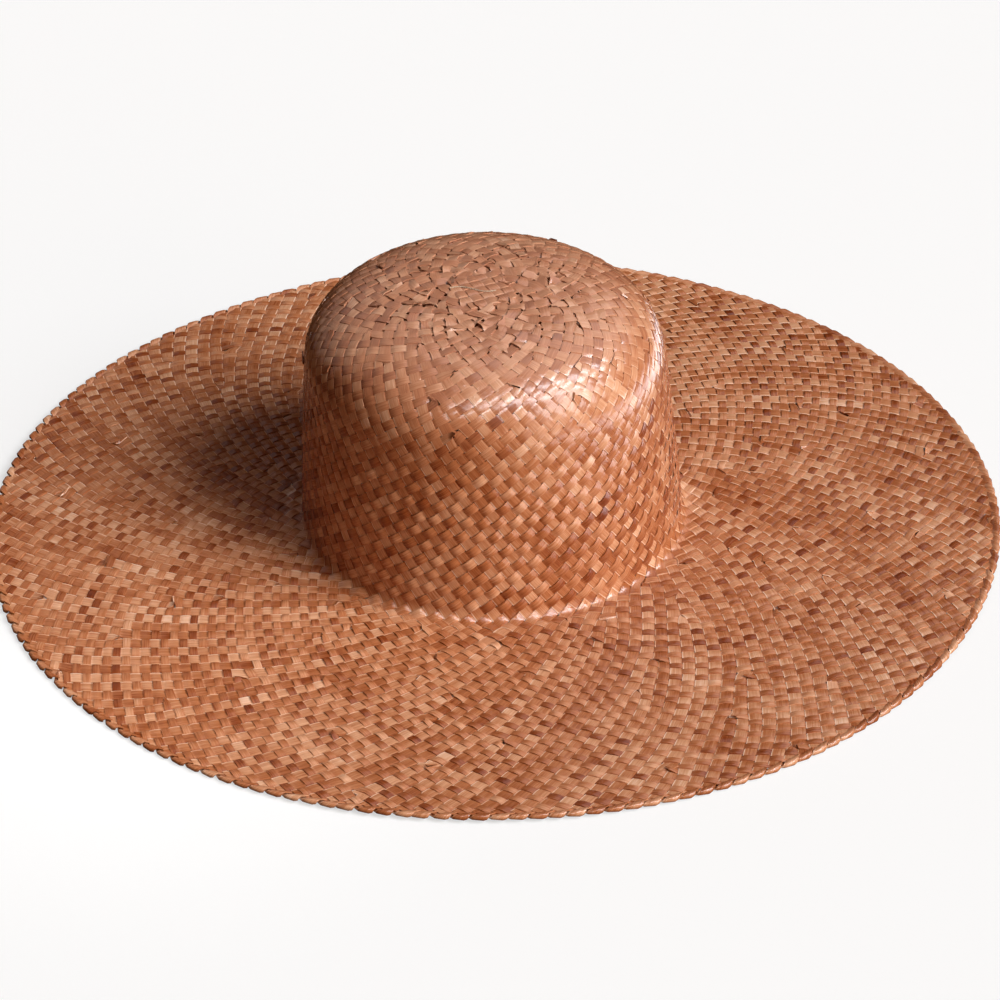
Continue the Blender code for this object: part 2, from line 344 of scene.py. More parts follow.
LEFT = Family("left", 1, LEFT_SUM, LEFT_SLOPE)
RIGHT = Family("right", -1, RIGHT_SUM, RIGHT_SLOPE)


def row_values():
    """The rows of points from the rim inwards, as values of the two families' summed counts."""
    first = np.interp(RIM_WAY - RIM_TUCK, WAY, ROWS_SUM)
    last = np.interp(PLAIT_START, WAY, ROWS_SUM)
    rows = (np.arange(int(last), int(first) + 2)[:, None] + np.array(SAMPLES)).ravel()
    return rows[(rows < first) & (rows > last)][::-1]


ROWS = row_values()
ROW_WAYS = np.interp(ROWS, ROWS_SUM, WAY)


def ring_counts():
    """The count of strips along a whole circle at each row, in small steps round it."""
    turns = np.linspace(0, TAU, RING_STEPS)
    spots = np.broadcast_to(turns, (len(ROWS), RING_STEPS))
    ways = np.broadcast_to(ROW_WAYS[:, None], spots.shape)
    return turns, np.unwrap(count_field(ways, spots)[0], period=1)


RING_TURNS, RING_COUNTS = ring_counts()


def ring_angles(family, row):
    """Where the family's strips cross the circle at a row, in order round it."""
    value = RING_COUNTS[row] + family.side * np.interp(ROW_WAYS[row], WAY, family.sums)
    value = np.maximum.accumulate(value) + RING_TURNS * 1e-9
    targets = math.ceil(value[0] - 0.5) + 0.5 + np.arange(round(value[-1] - value[0]))
    return np.interp(targets, value, RING_TURNS)


def turn_between(a, b):
    return np.angle(np.exp(1j * (b - a)))


def trace(family):
    """Each strip's angle at each row, inwards from the rim, and whether it is still there."""
    angle = ring_angles(family, 0)
    order = np.arange(len(angle))
    alive = np.ones(len(angle), bool)
    angles, lives = [angle.copy()], [alive.copy()]
    new_ways = np.interp(NEW_STRIPS.real, WAY_LOG, WAY)
    for row in range(1, len(ROWS)):
        passed = (new_ways < ROW_WAYS[row - 1]) & (new_ways > ROW_WAYS[row])
        for start in NEW_STRIPS.imag[passed]:
            nearest = int(np.argmin(np.abs(turn_between(angle[order], start))))
            alive[order[nearest]] = False
            order = np.delete(order, nearest)
        ring = ring_angles(family, row)
        step = family.side * np.diff(np.interp(ROW_WAYS[row - 1:row + 1], WAY, family.sums))
        foreseen = angle[order] - step / len(order) * TAU
        here = np.argmin(np.abs(turn_between(ring[:, None], foreseen[None, ::MATCH_STEP])), 0)
        shift = np.bincount((here - np.arange(len(order))[::MATCH_STEP]) % len(ring)).argmax()
        ring = np.roll(ring, -shift)[:len(order)]
        angle[order] += turn_between(angle[order], ring)
        angles.append(angle.copy())
        lives.append(alive.copy())
    return np.array(angles), np.array(lives)


def strip_pitch(family, way, angle):
    """How closely the strips lie at a point, as a share of how they usually lie there."""
    _value, out, round_ = family.phase(way, angle)
    radius = np.interp(way, WAY, SAFE_RADIUS)
    usual = np.hypot(strips_round(radius, way) / TAU / radius, np.interp(way, WAY, family.slope))
    return np.hypot(round_ / radius, out) / usual


def crossing_rise(value):
    """How far over the plait's middle the left family's strips are at a row: +1 over, -1 under."""
    wave = np.cos(np.pi * value)
    return wave / np.sqrt(wave * wave + ROUNDING) * math.sqrt(1 + ROUNDING)


# ---- meshes
SHARP_ANGLE = math.radians(48)  # an edge bent by more than this is not shaded round
CENTIMETRES = 100  # the unit of the streaks along a strip


def add_object(name, data):
    added = bpy.data.objects.new(name, data)
    bpy.context.scene.collection.objects.link(added)
    return added


def link(name, mesh, material):
    piece = add_object(name, mesh)
    mesh.materials.append(material)
    return piece


def grid_indices(shape):
    return np.arange(np.prod(shape)).reshape(shape)


def grid_faces(indices):
    """Quads between neighbouring rows of points. indices is rows x strips x points, -1 where missing."""
    here, there = indices[:-1], indices[1:]
    next_here = np.roll(here, -1, axis=-1)
    next_there = np.roll(there, -1, axis=-1)
    quads = np.stack((here, next_here, next_there, there), -1).reshape(-1, 4)
    return quads[(quads >= 0).all(1)]


def grid_caps(indices):
    """The closed ends of a grid of points, one face to a strip at the first row and at the last."""
    return indices[0], indices[-1][:, ::-1]


def build_mesh(name, points, quads, caps):
    """A mesh of quads and end faces, and which of the points it uses."""
    mesh = bpy.data.meshes.new(name)
    used = np.unique(np.concatenate([quads.ravel()] + [c.ravel() for c in caps]))
    order = np.full(len(points), -1)
    order[used] = np.arange(len(used))
    loops = np.concatenate([order[quads].ravel()] + [order[c].ravel() for c in caps])
    sizes = np.concatenate([np.full(len(quads), 4)] + [np.full(len(c), c.shape[1]) for c in caps])
    mesh.vertices.add(len(used))
    mesh.vertices.foreach_set("co", points[used].astype(np.float32).ravel())
    mesh.loops.add(len(loops))
    mesh.loops.foreach_set("vertex_index", loops.astype(np.int32))
    mesh.polygons.add(len(sizes))
    starts = np.concatenate(([0], np.cumsum(sizes)[:-1]))
    mesh.polygons.foreach_set("loop_start", starts.astype(np.int32))
    mesh.update(calc_edges=True)
    mesh.validate()
    mesh.shade_smooth()
    mesh.set_sharp_from_angle(angle=SHARP_ANGLE)
    return mesh, used


def add_attribute(mesh, name, values):
    kind = "FLOAT" if values.ndim == 1 else "FLOAT_VECTOR"
    layer = mesh.attributes.new(name, kind, "POINT")
    layer.data.foreach_set("value" if kind == "FLOAT" else "vector", values.astype(np.float32).ravel())


def leaf_piece(name, points, quads, caps, place, **looks):
    """Strips of leaf as one object, with all that their material reads at each point.

    place is how far along its strip a point lies, where across it, and which strip it is."""
    shape = points.shape[:3]
    mesh, used = build_mesh(name, points.reshape(-1, 3), quads, caps)
    for look, values in looks.items():
        add_attribute(mesh, look, np.broadcast_to(values, shape).ravel()[used])
    along, across, strip = [np.broadcast_to(values, shape).ravel()[used] for values in place]
    add_attribute(mesh, "strip_place", np.stack((along * CENTIMETRES, across, strip), -1))
    return link(name, mesh, LEAF)


def strip_section(pillow):
    """The heights of the six points round a strip over its own middle."""
    return np.concatenate((STRIP_THICK / 2 + pillow * (1 - ACROSS ** 2), [-STRIP_THICK / 2] * 2))


class Strips:
    """All the strips of one family as points: six round each strip at each row."""

    def __init__(self, family):
        self.family = family
        angle, self.alive = trace(family)
        self.count = angle.shape[1]
        way, turned = self.tops(angle, self.half_widths(angle)[..., None] * ACROSS)
        rise = family.rise(ROW_WAYS, ROWS)[:, None] * np.ones(self.count)
        rise = rise + rng.normal(0, RISE_STRAY, rise.shape) + self.end_lift()
        tilt = self.cell_noise() * mix(LOOSE_TIP, LOOSE_PLAIT, smooth_step(*LOOSE_ZONE, ROW_WAYS))[:, None]
        level = rise[..., None] + tilt[..., None] * ACROSS
        puff = PILLOW * (1 - ACROSS ** 2)
        top, normal = on_surface(way, turned, level + (STRIP_THICK / 2 + puff))
        bottom = top - normal * (STRIP_THICK + puff)[:, None]
        self.points = np.concatenate((top, bottom[..., 3:4, :], bottom[..., 0:1, :]), 2)
        run = np.linalg.norm(np.diff(self.points[:, :, 1], axis=0), axis=-1)
        self.along = np.concatenate((np.zeros((1, self.count)), np.cumsum(run, 0)))
        self.tone = rng.uniform(0, 1, self.count)
        self.cell = self.cell_noise()

    def half_widths(self, angle):
        """Half of each strip's width at each row, as a share of the usual pitch."""
        pitch = strip_pitch(self.family, np.broadcast_to(ROW_WAYS[:, None], angle.shape), angle)
        half = (0.5 - SEAM) * np.minimum(1, WIDEST * pitch)
        half = half * rng.uniform(LEAST_WIDTH, 1.0, self.count) * self.family.cover(ROW_WAYS)[:, None]
        near_tip = 1 - smooth_step(*NARROW_ZONE, ROW_WAYS)
        return half * (1 - near_tip[:, None] * rng.uniform(0.0, WIDTH_LOSS_AT_TIP, half.shape))

    def tops(self, angle, offset):
        """The distance from the tip and the angle round the hat of each point over the strips' tops."""
        family = self.family
        way = np.interp(ROWS[:, None, None] + family.side * offset, ROWS_SUM, WAY)
        middle_way = np.broadcast_to(ROW_WAYS[:, None, None], way.shape)
        middle = np.broadcast_to(angle[..., None], way.shape)
        radius = np.interp(way, WAY, SAFE_RADIUS)
        usual = strips_round(radius, way) / TAU
        out = family.side * np.interp(middle_way, WAY, family.slope)
        turn = (offset - out * (way - middle_way)) / usual
        settled = family.settle(way, middle + turn, 0.5 + offset)
        return way, middle + turn + np.clip(settled - middle - turn, -STRAY / usual, STRAY / usual)

    def end_lift(self):
        """A strip that starts on top of the plait has its cut end standing up a little."""
        last = self.alive.sum(0) - 1
        on_top = self.family.side * crossing_rise(ROWS[last] + 0.5) > 0
        height = END_LIFT * rng.uniform(LOW_END, 1.0, len(last)) * (on_top & (last < len(ROWS) - 1))
        rows_left = last - np.arange(len(ROWS))[:, None]
        return height * np.clip(1 - rows_left / END_REACH, 0, 1) ** 2

    def cell_noise(self):
        """One random number to each crossing of each strip, held along the crossing."""
        cells = np.floor(ROWS + 0.5).astype(int)
        cells = cells - cells.min()
        return rng.normal(0, 1, (cells.max() + 1, self.count))[cells]

    def piece(self, name, first_row, last_row, chosen):
        """The strips in chosen, between two rows, as one object."""
        shape = self.points.shape[:3]
        row = np.arange(shape[0])[:, None]
        keep = self.alive & chosen & (row >= first_row) & (row <= last_row)
        whole = keep & (np.roll(keep, 1, 0) | np.roll(keep, -1, 0))
        indices = np.where(whole[..., None], grid_indices(shape), -1)
        quads = grid_faces(indices)
        if self.family.side < 0:
            quads = quads[:, ::-1]
        here = indices[:, :, 0] >= 0
        nothing = np.zeros((1, self.count), bool)
        before = np.concatenate((nothing, here[:-1]))
        after = np.concatenate((here[1:], nothing))
        caps = (indices[here & ~before], indices[here & ~after][:, ::-1])
        # painted light in the strips' tone: painted shade on the bowed family, and a painted sheen at the tip
        flat = FAMILY_PAINTED_SHADE * (0.5 - self.family.bowed(ROW_WAYS))
        painted_light = flat + TIP_PAINTED_SHEEN * (1 - smooth_step(*TIP_SHEEN_ZONE, ROW_WAYS))
        return leaf_piece(name, self.points, quads, caps,
                          (self.along[..., None], AROUND, np.arange(self.count)[:, None] * PLAIT_STREAKS),
                          strip_tone=self.tone[:, None] + painted_light[:, None, None],
                          cell_tone=self.cell[..., None],
                          cut_edge=self.family.edge_highlight(ROW_WAYS)[:, None, None],
                          tip_wear=1 - smooth_step(*WEAR_AND_SHEEN_ZONE, ROW_WAYS)[:, None, None])


# ---- the turned rim
RIM_PIECES = 4
FOLDS_TO_A_PIECE = STRIPS_AT_RIM // RIM_PIECES
FOLD_PITCH = TAU / STRIPS_AT_RIM
FOLD_SLANT = 0.89  # a folded strip moves this far round the rim for each step across it
FOLD_ROUND_IN = 0.0011  # the roll's middle, inside the rim
FOLD_ROLL = 0.00085  # radius of a folded strip's middle round the rim
ROLL_LEVEL = -0.00115  # the roll's middle, over the brim's top
ROLL_RISE = 0.00087  # how far it goes up and down from there
ROLL_STEPS = 9
# the rest of a folded strip's way, as places outwards from the rim and upwards from the brim's top
FOLD_ON_TOP = ((-0.0046, -0.0014), (-0.0037, -0.0009), (-0.0029, -0.0005), (-0.0021, -0.0003))
FOLD_UNDERNEATH = ((-0.0030, -0.0020), (-0.0050, -0.00195), (-0.0075, -0.00195),
                   (-0.0095, -0.00195), (-0.0110, -0.0017), (-0.0121, -0.0013))
SCALLOP = 0.0012  # a folded strip's middle stands out past its sides by this
SCALLOP_INSIDE = 0.6  # the share of it that lies inside the roll
FOLD_SHINGLE = 0.00036  # each folded strip leans over the next one by this
FOLD_PUFF = 1.6  # how much more than a woven strip it is puffed up
FOLD_WIDTHS = (0.82, 0.94)  # as shares of the pitch
FOLD_STRAY = 0.04  # how far a folded strip is out of place, as a share of the pitch
FOLD_RISE_STRAY = 0.00004
FOLD_TONES = 1.2  # the folded strips differ in tone up to this
# the folded strips' pale cut edge, partly a painted highlight
FOLD_EDGE_HIGHLIGHT = 0.4
FOLD_STREAKS = 5.17


def fold_path():
    """A folded strip's way over the rim: outward and upward places, from top inside to underneath."""
    turn = np.linspace(0.5 * np.pi, -0.5 * np.pi, ROLL_STEPS)
    roll = np.stack((-FOLD_ROUND_IN + FOLD_ROLL * np.cos(turn), ROLL_LEVEL + ROLL_RISE * np.sin(turn)), -1)
    return np.concatenate((FOLD_ON_TOP, roll, FOLD_UNDERNEATH)).T


def fold_points(first):
    """The points of one piece's folded strips, from the strip first on, and the distance along them."""
    out, up = fold_path()
    run_out, run_up = np.gradient(out), np.gradient(up)
    length = np.hypot(run_out, run_up)
    normal_out, normal_up = -run_up / length, run_out / length
    travel = np.concatenate(([0], np.cumsum(np.hypot(np.diff(out), np.diff(up)))))
    count = FOLDS_TO_A_PIECE
    jitter = rng.normal(0, FOLD_STRAY, count)
    width = rng.uniform(*FOLD_WIDTHS, count) * 0.5
    middle = (first + np.arange(count) + 0.5 + jitter) * FOLD_PITCH
    angle = (middle[None, :, None] - FOLD_SLANT * travel[:, None, None] / RIM_RADIUS
             + width[None, :, None] * AROUND * FOLD_PITCH)
    base = top_point(RIM_WAY + np.minimum(out, 0)[:, None, None] + np.zeros(angle.shape), angle)
    section = strip_section(PILLOW * FOLD_PUFF) + FOLD_SHINGLE * AROUND
    rise = section[None, None, :] + rng.normal(0, FOLD_RISE_STRAY, (1, count, 1))
    at_roll = np.clip(1 + (out + FOLD_ROUND_IN) / FOLD_ROLL, 0, 1)[:, None, None]
    scallop = at_roll * (SCALLOP * (1 - AROUND ** 2) - SCALLOP * SCALLOP_INSIDE)
    edge_out = (normal_out[:, None, None] * rise + scallop)[..., None]
    edge_up = (normal_up[:, None, None] * rise + up[:, None, None])[..., None]
    away = np.stack((np.cos(angle), np.sin(angle), np.zeros(angle.shape)), -1)
    return base + away * edge_out + np.array((0, 0, 1.0)) * edge_up, travel


def fold_piece(name, first):
    points, travel = fold_points(first)
    indices = grid_indices(points.shape[:3])
    number = np.arange(FOLDS_TO_A_PIECE)[:, None]
    return leaf_piece(name, points, grid_faces(indices), grid_caps(indices),
                      (travel[:, None, None], AROUND, number * FOLD_STREAKS),
                      strip_tone=rng.uniform(0.0, FOLD_TONES, FOLDS_TO_A_PIECE)[:, None],
                      cell_tone=0,
                      cut_edge=FOLD_EDGE_HIGHLIGHT)


# ---- the start of the plait at the tip
START_STRIPS = np.arange(-2, 3)  # the places of the short strips, in pitches from the middle one
START_PITCH = 0.0056
START_REACH = 0.0165  # half the length of the middle one
START_RISE = 0.00042
START_LEVEL = 0.00035  # the short strips lie this far over the plait's middle layer
START_DIVE = 0.0012  # and their ends go down by this
DIVE_LENGTH = 0.004
START_TURN = math.radians(24)
START_LEAN = 0.05  # how far a short strip may slant
START_HALF_WIDTHS = (0.43, 0.49)  # as shares of the pitch
START_TONES = (0.3, 1)
# the short strips' pale cut edge, partly a painted highlight
START_EDGE_HIGHLIGHT = 0.5
START_STREAKS = 3.1


def start_piece(name, quarter):
    """Five short strips side by side over the middle of the tip, woven through the other five."""
    count = len(START_STRIPS)
    reach = np.sqrt(START_REACH ** 2 - (START_STRIPS * START_PITCH) ** 2)
    run = np.linspace(-1, 1, 33)[:, None] * reach
    lean = rng.normal(0, START_LEAN, count)
    width = START_PITCH * rng.uniform(*START_HALF_WIDTHS, count)
    aside = (START_STRIPS * START_PITCH + lean * run)[..., None] + width[:, None] * AROUND
    direction = np.exp(1j * (START_TURN + quarter * np.pi / 2))
    spot = direction * (run[..., None] + 1j * aside)
    over = np.where((START_STRIPS + quarter) % 2 == 0, 1.0, -1.0)
    wave = crossing_rise(run / START_PITCH) * over * START_RISE
    dive = -START_DIVE * smooth_step(START_REACH - DIVE_LENGTH, START_REACH, np.abs(run))
    rise = (wave + dive + START_LEVEL)[..., None] + strip_section(PILLOW)
    points, _normal = on_surface(np.abs(spot), np.angle(spot), rise)
    indices = grid_indices(points.shape[:3])
    number = np.arange(count)[:, None]
    return leaf_piece(name, points, grid_faces(indices), grid_caps(indices),
                      (run[..., None], AROUND, number * START_STREAKS + quarter),
                      strip_tone=rng.uniform(*START_TONES, count)[:, None],
                      cell_tone=0,
                      cut_edge=START_EDGE_HIGHLIGHT,
                      tip_wear=1)


# ---- materials
class Material:
    """A new node material, with short ways to add nodes to it."""

    def __init__(self, name):
        self.data = bpy.data.materials.new(name)
        self.data.use_nodes = True
        self.nodes = self.data.node_tree.nodes
        self.shader = self.nodes["Principled BSDF"]

    def fill(self, node, inputs):
        """Gives each socket its link or its constant."""
        for socket, value in inputs.items():
            if isinstance(value, bpy.types.NodeSocket):
                self.data.node_tree.links.new(value, node.inputs[socket])
            else:
                node.inputs[socket].default_value = value

    def add(self, kind, inputs, output=0, **settings):
        """One output of a new node."""
        node = self.nodes.new("ShaderNode" + kind)
        for name, value in settings.items():
            setattr(node, name, value)
        self.fill(node, inputs)
        return node.outputs[output]

    def attribute(self, name, output="Fac"):
        return self.add("Attribute", {}, output, attribute_name=name)

    def math(self, operation, *values, clamp=False):
        return self.add("Math", dict(enumerate(values)), operation=operation, use_clamp=clamp)

    def noise(self, places, stretch, detail=2.0, rough=0.55):
        """Noise at stretch times the given places."""
        spread = self.add("VectorMath", {0: places, 1: stretch}, operation="MULTIPLY")
        return self.add("TexNoise", {"Vector": spread, "Scale": 1.0, "Detail": detail, "Roughness": rough})

    def smooth(self, value, low, high, top=1.0):
        """From 0 at low to top at high, smoothly."""
        sockets = {"Value": value, "From Min": low, "From Max": high, "To Max": top}
        return self.add("MapRange", sockets, interpolation_type="SMOOTHSTEP")

    def bump(self, height, strength, distance):
        return self.add("Bump", {"Height": height, "Strength": strength, "Distance": distance})

    def ramp(self, factor, stops):
        node = self.nodes.new("ShaderNodeValToRGB")
        elements = node.color_ramp.elements
        while len(elements) < len(stops):
            elements.new(0.5)
        for element, (place, color) in zip(elements, stops):
            element.position = place
            element.color = (*color, 1)
        self.fill(node, {0: factor})
        return node.outputs[0]


LEAF_STOPS = (
    (0.00, (0.085, 0.011, 0.002)),
    (0.25, (0.220, 0.044, 0.009)),
    (0.50, (0.440, 0.154, 0.060)),
    (0.75, (0.650, 0.334, 0.188)),
    (1.00, (0.860, 0.605, 0.455)),
)
# the tip's worn leaf, made paler also as a painted sheen where the dome catches the light
WORN_AND_SHEEN_LEAF = (0.58, 0.322, 0.228)
WEAR_AND_SHEEN_SHARE = 0.40  # how much of its colour the leaf has lost at the tip, from wear and from a painted sheen
LEAF_TONE = 0.386  # where the darkest strip is on the stops, before its streaks
STRIP_TONES = 0.25  # and how far the strips differ
SLOW_STREAKS = (0.35, 0.10, 1.0)  # changes along a strip, across it and from strip to strip
GRAIN_STREAKS = (0.40, 2.2, 1.0)
FINE_STREAKS = (0.70, 6.0, 1.0)
SLOW_WEIGHT, GRAIN_WEIGHT, FINE_WEIGHT, CELL_WEIGHT = 0.72, 0.30, 0.55, 0.045
LEAF_ROUGHNESS = 0.13
ROUGHNESS_GRAIN = 0.10
# how much paler the cut edge is: the leaf's pale cut edge and a painted highlight where it catches the light
CUT_EDGE_HIGHLIGHT = 0.42
LIT_CUT_EDGE_ZONE = (-0.80, -0.95)  # the cut edge lies here across a strip, on one side only: its paleness is partly a painted highlight of the edge that catches the light


def leaf_material(name):
    """Lacquered split leaf: each strip its own brown, streaked along the strip, paler where it is cut, with
    painted light: a highlight on the cut edge's lit side, shade on the bowed family and a sheen at the tip.
    """
    leaf = Material(name)
    place = leaf.attribute("strip_place", "Vector")
    slow = leaf.noise(place, SLOW_STREAKS)
    grain = leaf.noise(place, GRAIN_STREAKS, rough=0.6)
    fine = leaf.noise(place, FINE_STREAKS, rough=0.7)
    level = leaf.math("MULTIPLY_ADD", leaf.attribute("strip_tone"), STRIP_TONES, LEAF_TONE)
    for noise, weight in ((slow, SLOW_WEIGHT), (grain, GRAIN_WEIGHT), (fine, FINE_WEIGHT)):
        level = leaf.math("MULTIPLY_ADD", leaf.math("SUBTRACT", noise, 0.5), weight, level)
    level = leaf.math("MULTIPLY_ADD", leaf.attribute("cell_tone"), CELL_WEIGHT, level)
    # pale cut edge on one side of each strip, partly a painted highlight
    edge = leaf.smooth(leaf.add("SeparateXYZ", {0: place}, "Y"), *LIT_CUT_EDGE_ZONE)
    painted_edge_highlight = leaf.math("MULTIPLY", edge, leaf.attribute("cut_edge"))
    level = leaf.math("MULTIPLY_ADD", painted_edge_highlight, CUT_EDGE_HIGHLIGHT, level, clamp=True)
    # worn leaf at the tip, mixed in paler also as a painted sheen
    wear = leaf.math("MULTIPLY", leaf.attribute("tip_wear"), WEAR_AND_SHEEN_SHARE)
    colors = {"Fac": wear, "Color1": leaf.ramp(level, LEAF_STOPS), "Color2": (*WORN_AND_SHEEN_LEAF, 1)}
    relief = leaf.math("MULTIPLY_ADD", grain, 0.6, leaf.math("MULTIPLY", fine, 0.5))
    leaf.fill(leaf.shader, {
        "Base Color": leaf.add("MixRGB", colors),
        "Roughness": leaf.math("MULTIPLY_ADD", grain, ROUGHNESS_GRAIN, LEAF_ROUGHNESS),
        "Specular IOR Level": 0.32,
        "Coat Weight": 0.08,
        "Coat Roughness": 0.22,
        "Normal": leaf.bump(relief, 0.35, 0.00025),
    })
    return leaf.data


def cloth_material(name, dark, light, threads):
    """Cotton: a fine cross grain of threads and slow fading."""
    cloth = Material(name)
    coords = cloth.add("TexCoord", {}, "Object")
    slow = cloth.noise(coords, (60.0, 60.0, 60.0), 3.0)
    fine = cloth.noise(coords, (threads, threads, threads * 3), 4.0)
    level = cloth.math("MULTIPLY_ADD", fine, 0.6, cloth.math("MULTIPLY", slow, 0.4))
    cloth.fill(cloth.shader, {
        "Base Color": cloth.ramp(level, ((0.25, dark), (0.75, light))),
        "Roughness": 0.85,
        "Sheen Weight": 0.25,
        "Normal": cloth.bump(fine, 0.5, 0.0002),
    })
    return cloth.data


LEAF = leaf_material("split_leaf")
RIBBON = cloth_material("ribbon_cotton", (0.28, 0.165, 0.095), (0.50, 0.34, 0.22), 1400.0)
THREAD = cloth_material("cotton_thread", (0.42, 0.30, 0.20), (0.70, 0.55, 0.40), 3000.0)


# ---- making the plait
SHOULDER_SEAM = 0.004  # the objects are parted this far over the shoulder
FOOT_SEAM = 0.006  # and this far over the foot
BRIM_PIECES = 4


def row_near(way):
    """The row at the edge of a crossing that is nearest to a distance from the tip."""
    edges = np.abs(ROWS - np.floor(ROWS) - 0.5) < 1e-9
    return int(np.argmin(np.where(edges, np.abs(ROW_WAYS - way), 9)))


def strip_pieces(strips, region, first_row, last_row, parts):
    """One region of one family, in a number of objects, each a share of the strips."""
    share = np.arange(strips.count) * parts // strips.count
    name = f"{region}_{strips.family.name}_strips"
    if parts == 1:
        return [strips.piece(name, first_row, last_row, share == 0)]
    return [strips.piece(f"{name}_{part + 1}", first_row, last_row, share == part) for part in range(parts)]


def make_plait():
    """The pieces that stand for the crown and those that stand for the brim."""
    shoulder_row = row_near(SHOULDER_WAY - SHOULDER_SEAM)
    foot_row = row_near(FOOT_WAY - FOOT_SEAM)
    crown, brim = [], []
    for family in (LEFT, RIGHT):
        strips = Strips(family)
        crown += strip_pieces(strips, "crown_top", shoulder_row, len(ROWS) - 1, 1)
        crown += strip_pieces(strips, "crown_side", foot_row, shoulder_row, 2)
        brim += strip_pieces(strips, "brim", 0, foot_row, BRIM_PIECES)
    return crown, brim


def make_rim():
    return [fold_piece(f"rim_folds_{part + 1}", part * FOLDS_TO_A_PIECE) for part in range(RIM_PIECES)]


def stand_for(pieces, node):
    for piece in pieces:
        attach(piece, "root")
        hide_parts(node)


crown, brim = make_plait()
stand_for(crown, "crown")
stand_for(brim, "brim")
stand_for(make_rim(), "brim_edge_fold")
stand_for([start_piece(f"tip_start_strips_{quarter + 1}", quarter) for quarter in range(2)], "crown")


# ---- the sweatband and its sewing
RIB_COUNT = 360
RIB_RISE = 0.00009
BAND_ROWS = 12
HEM_THICK = 0.55  # a ribbon's two edges have this share of its thickness
HEM_SHARPNESS = 4
STITCH_HEIGHT = 0.0035
STITCH_COUNT = 104
STITCH_SHARE = 0.66  # the part of a stitch's pitch that shows
STITCH_BOW = 0.00062  # a stitch's middle stands out past its ends by this
STITCH_DEPTH = 0.0003  # how deep its ends go into the ribbon
STITCH_STRAY = 0.00012
STITCH_TILT = 0.00015
THREAD_RADIUS = 0.00024
THREAD_END = 0.35  # a thread ends with this share of its radius
TAB_WIDTH = 0.014
TAB_THICK = 0.0008
TAB_BOTTOM = 0.006
TAB_TOP = 0.031
TACK_WIDTH = 0.007
TACK_HEIGHT = 0.027
TACK_SWING = 0.0007
TACK_TURNS = 7
TACK_PROUD = 0.0002
TIP_END_MARGIN = 0.0005  # the loose thread's ends, inside the CAD's
TIP_END_SWING = 0.0024
TIP_END_WAVE = (0.6, 0.8)  # where its wave starts, and how many waves it has
TIP_END_RISE = 0.0013  # over the plait's middle layer
PLY_RADIUS = 0.00017
PLY_PATH_RADIUS = 0.00016
PLY_TURNS = 9
PLY_SIDES = 6
BACK = math.pi / 2
OFF_PATH = np.array((0.13, 0.31, 0.94))  # a direction that no thread follows


def inside_point(radius, angle, height):
    """A point inside the crown, on the same oval, shift and lean as the crown itself."""
    x = radius * np.cos(angle) * (1 - CROWN_OVAL / 2) + CROWN_LEAN * height / CROWN_HEIGHT + CROWN_SHIFT_X
    y = radius * np.sin(angle) * (1 + CROWN_OVAL / 2) + CROWN_SHIFT_Y
    return np.stack((x, y, FOOT_TOP + height + np.zeros(np.shape(angle))), -1)


def band_outer(height):
    return side_radius(height) - STRAW_THICK - BAND_CLEAR


def rib_wave(length_share=1.0):
    """The ribs along a share of the hat's circumference, four points to a rib."""
    return np.sin(np.arange(int(RIB_COUNT * length_share * 4) + 1) * np.pi / 2)


def ribbon(name, angles, heights, depth, thick, ribs):
    """A ribbon standing on edge inside the crown, ribbed across, with both faces and its four edges."""
    angles, heights = np.linspace(*angles, len(ribs)), np.linspace(*heights, BAND_ROWS)
    angle, height = np.meshgrid(angles, heights, indexing="ij")
    flat = np.minimum(1, np.sin(np.linspace(0, np.pi, BAND_ROWS)) * HEM_SHARPNESS)
    half = (thick / 2 - RIB_RISE) * mix(HEM_THICK, 1.0, flat) + ribs[:, None] * RIB_RISE * flat
    middle = band_outer(height) - BAND_THICK / 2 - depth
    faces = [inside_point(middle + side * half, angle, height) for side in (1, -1)]
    loop = np.concatenate((faces[0], faces[1][:, ::-1]), 1)
    indices = grid_indices((loop.shape[0], 1, loop.shape[1]))
    mesh, _used = build_mesh(name, loop.reshape(-1, 3), grid_faces(indices), grid_caps(indices))
    return link(name, mesh, RIBBON)


def crossways(path):
    """Two directions across a path at each of its points."""
    run = np.gradient(path, axis=0)
    run /= np.linalg.norm(run, axis=1, keepdims=True)
    lift = np.cross(run, OFF_PATH)
    lift /= np.linalg.norm(lift, axis=1, keepdims=True)
    return lift, np.cross(run, lift)


def threads(name, paths, radius, sides=8):
    """Round threads along paths, each a run of points, with closed ends."""
    turn = np.arange(sides) * TAU / sides
    points, quads, caps = [], [], []
    start = 0
    for path in paths:
        lift, aside = crossways(path)
        ring = lift[:, None] * np.cos(turn)[:, None] + aside[:, None] * np.sin(turn)[:, None]
        swell = np.ones(len(path))
        swell[[0, -1]] = THREAD_END
        points.append((path[:, None] + ring * (radius * swell)[:, None, None]).reshape(-1, 3))
        indices = grid_indices((len(path), 1, sides)) + start
        quads.append(grid_faces(indices))
        caps += grid_caps(indices)
        start += len(path) * sides
    mesh, _used = build_mesh(name, np.concatenate(points), np.concatenate(quads), caps)
    return link(name, mesh, THREAD)


def twisted(path, ply):
    """One of two plies laid round each other along a path."""
    lift, aside = crossways(path)
    turn = np.linspace(0, TAU * PLY_TURNS, len(path)) + ply * np.pi
    return path + PLY_PATH_RADIUS * (lift * np.cos(turn)[:, None] + aside * np.sin(turn)[:, None])


def make_band():
    half_gap = BAND_END_GAP / 2 / FOOT_RADIUS
    angles = (BACK + half_gap, BACK + TAU - half_gap)
    return ribbon("sweatband_ribbon", angles, (BAND_BOTTOM, BAND_TOP), 0, BAND_THICK, rib_wave())


